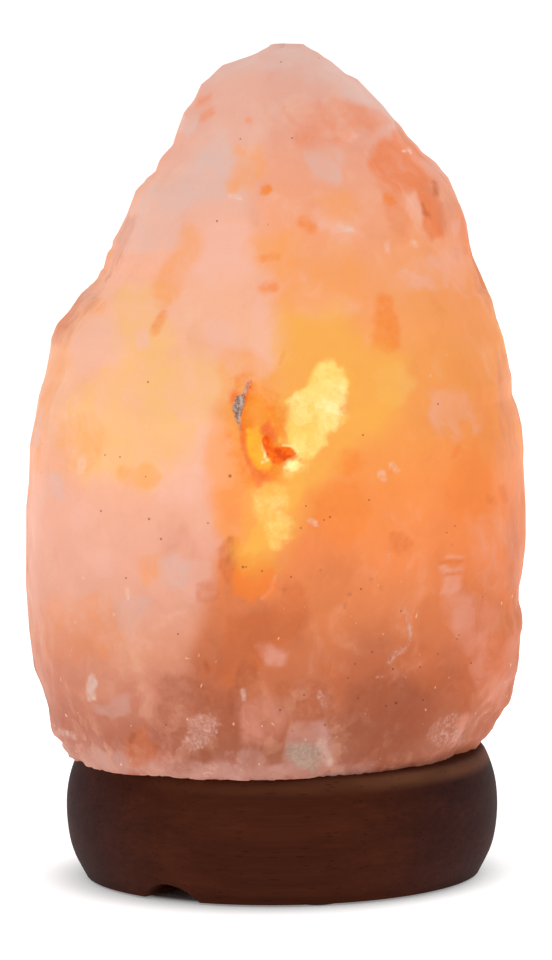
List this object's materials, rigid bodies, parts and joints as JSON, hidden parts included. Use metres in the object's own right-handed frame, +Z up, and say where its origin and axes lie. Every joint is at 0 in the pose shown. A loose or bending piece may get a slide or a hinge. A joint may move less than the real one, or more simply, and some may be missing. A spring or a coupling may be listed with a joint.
{
  "type": "salt crystal lamp",
  "caption": "Rough-hewn block of glowing orange rock salt on a low turned wooden base, lit from inside by a small bulb in a clip-in holder that pulls out from below.",
  "frame": {"origin": "middle of the lamp's outline, in the plane the felt feet rest on", "axes": "+Z up; -Y is the front, on whose left the cord notch opens; +X to the right of the front. The base, the bore, the holder and the bulb share one vertical axis at x = 0.75 mm, y = 0."},
  "size_m": [0.1164, 0.1096, 0.1923],
  "materials": {
    "rock_salt": "rough, waxy",
    "stained_wood": "satin",
    "felt": "matte",
    "zinc_steel": "zinc plated",
    "spring_steel": "bright",
    "nylon": "matte",
    "holder_plastic": "satin",
    "brass": "satin",
    "cap_metal": "bright nickel",
    "bulb_glass": "clear",
    "stem_glass": "clear",
    "black_glass": "gloss",
    "solder": "dull",
    "tungsten": "glowing",
    "nickel_wire": "bright"
  },
  "bodies": {
    "base": {"salt_crystal": "rock_salt", "wood_base": "stained_wood", "felt_pads": "felt", "base_fixing_screws": "zinc_steel", "screw_washers": "zinc_steel", "salt_wall_plugs": "nylon"},
    "holder": {"lamp_holder_body": "holder_plastic", "lamp_holder_cap": "holder_plastic", "holder_cap_screws": "zinc_steel", "thread_shell": "brass", "centre_contact_foot": "brass", "contact_rivets": "brass", "terminal_plates": "brass", "terminal_screws": "zinc_steel", "clip_strap": "spring_steel", "clip_rivets": "spring_steel"},
    "contact_tongue": {"centre_contact_tongue": "brass"},
    "clip_left": {"clip_arm_left": "spring_steel"},
    "clip_right": {"clip_arm_right": "spring_steel"},
    "bulb_tip": {"bulb_contact_tip": "solder"},
    "bulb": {"bulb_glass": "bulb_glass", "bulb_screw_cap": "cap_metal", "bulb_insulator": "black_glass", "bulb_stem": "stem_glass", "filament": "tungsten", "filament_lead_wires": "nickel_wire", "filament_supports": "nickel_wire"}
  },
  "joints": [
    {"name": "holder_pull", "type": "slide", "parent": "base", "child": "holder", "axis": [0, 0, -1], "range_m": [0, 0.1]},
    {"name": "clip_left_squeeze", "type": "hinge", "parent": "holder", "child": "clip_left", "pos_m": [-0.01325, 0, 0.0175], "axis": [0, 1, 0], "range_deg": [0, 9], "stiffness_Nm_per_rad": 0.05},
    {"name": "clip_right_squeeze", "type": "hinge", "parent": "holder", "child": "clip_right", "pos_m": [0.01475, 0, 0.0175], "axis": [0, -1, 0], "range_deg": [0, 9], "stiffness_Nm_per_rad": 0.05},
    {"name": "contact_press", "type": "hinge", "parent": "holder", "child": "contact_tongue", "pos_m": [-0.0018, 0, 0.0284], "axis": [0, 1, 0], "range_deg": [0, 8], "stiffness_Nm_per_rad": 0.01},
    {"name": "bulb_rise", "type": "slide", "parent": "holder", "child": "bulb_tip", "axis": [0, 0, 1], "range_m": [0, 0.01271]},
    {"name": "bulb_turn", "type": "hinge", "parent": "bulb_tip", "child": "bulb", "pos_m": [0.00075, 0, 0.03], "axis": [0, 0, 1], "range_deg": [0, 1800]}
  ],
  "couplings": [
    {"joint": "bulb_rise", "follows": "bulb_turn", "m_per_rad": 0.00040425}
  ]
}
